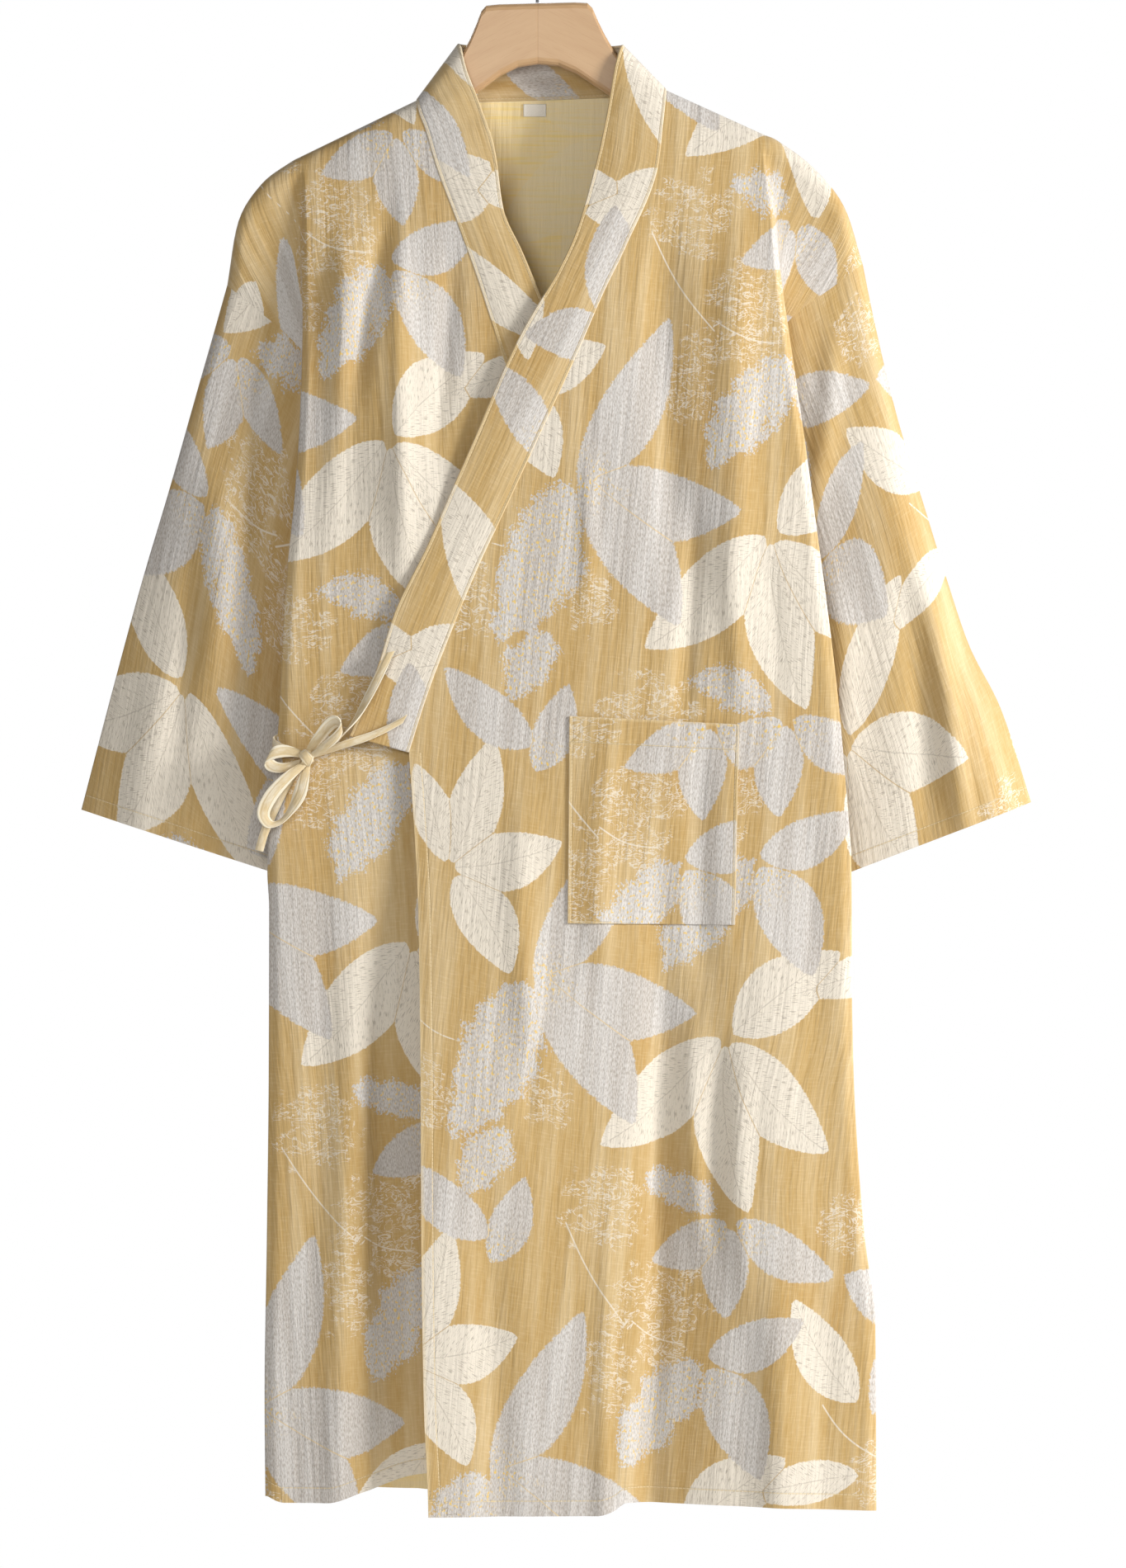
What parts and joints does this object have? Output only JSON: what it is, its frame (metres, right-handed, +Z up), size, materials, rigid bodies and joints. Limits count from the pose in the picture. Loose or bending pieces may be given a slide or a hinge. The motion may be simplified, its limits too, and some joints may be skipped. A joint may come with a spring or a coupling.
{
  "type": "kimono on a hanger",
  "caption": "Wrap-front cotton kimono robe with wide sleeves, patch pocket and tied bow, hanging on a flat wooden hanger with a wire hook.",
  "frame": {"origin": "inside top of the hanger's hook, where the hook rests on a rail", "axes": "+Z up, -Y out of the kimono's front, +X to the wearer's left"},
  "size_m": [0.7512, 0.1162, 1.2545],
  "materials": {
    "printed_cotton": "matte",
    "printed_cotton_shaded": "matte",
    "tie_cotton": "matte",
    "woven_label": "satin",
    "beech": "satin",
    "steel_wire": "polished"
  },
  "bodies": {
    "root": {"back": "printed_cotton", "front_right": "printed_cotton", "front_left": "printed_cotton", "collar": "printed_cotton", "sleeve_right": "printed_cotton_shaded", "sleeve_left": "printed_cotton", "pocket": "printed_cotton", "label": "woven_label", "tie_front": "tie_cotton", "tie_edge": "tie_cotton", "tie_side": "tie_cotton", "bow_knot": "tie_cotton", "bow_loop_up": "tie_cotton", "bow_loop_side": "tie_cotton", "bow_loop_low": "tie_cotton", "bow_tail": "tie_cotton", "hanger": "beech", "hook": "steel_wire"}
  },
  "joints": []
}
